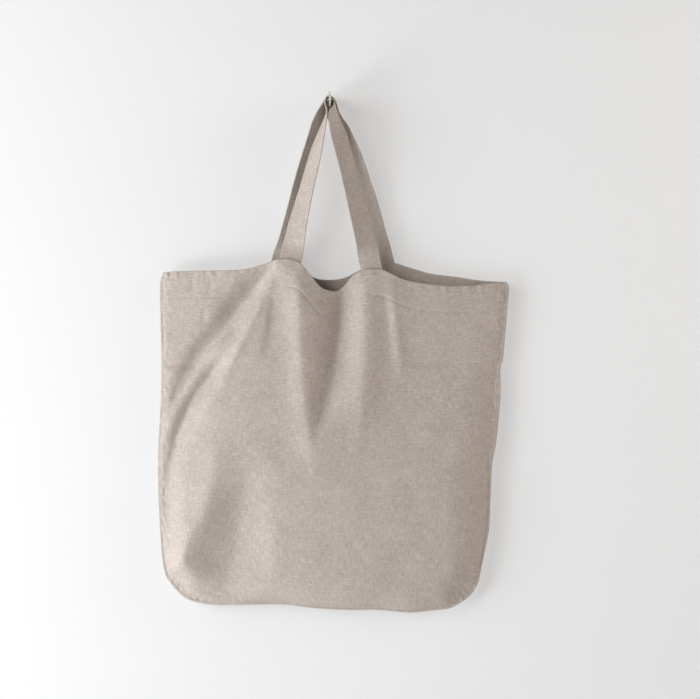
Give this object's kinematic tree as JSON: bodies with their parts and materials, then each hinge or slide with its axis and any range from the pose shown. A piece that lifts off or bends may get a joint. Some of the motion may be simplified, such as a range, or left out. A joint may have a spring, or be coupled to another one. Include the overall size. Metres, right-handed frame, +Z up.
{
  "type": "shopping bag on a wall hook",
  "caption": "Large soft cloth shopping bag with flat handles, hanging open from a small metal wall hook.",
  "frame": {"origin": "on the hook's mounting face, level with its bar", "axes": "+Z up, +X to the viewer's right, -Y out from the wall toward the viewer"},
  "size_m": [0.4828, 0.0718, 0.7104],
  "materials": {
    "linen": "matt plain-woven natural linen with slubs",
    "handle_linen": "matt plain-woven natural linen, folded and stitched",
    "hook_metal": "satin"
  },
  "bodies": {
    "root": {"front_panel": "linen", "back_panel": "linen", "front_handle": "handle_linen", "back_handle": "handle_linen", "wall_hook": "hook_metal"}
  },
  "joints": []
}
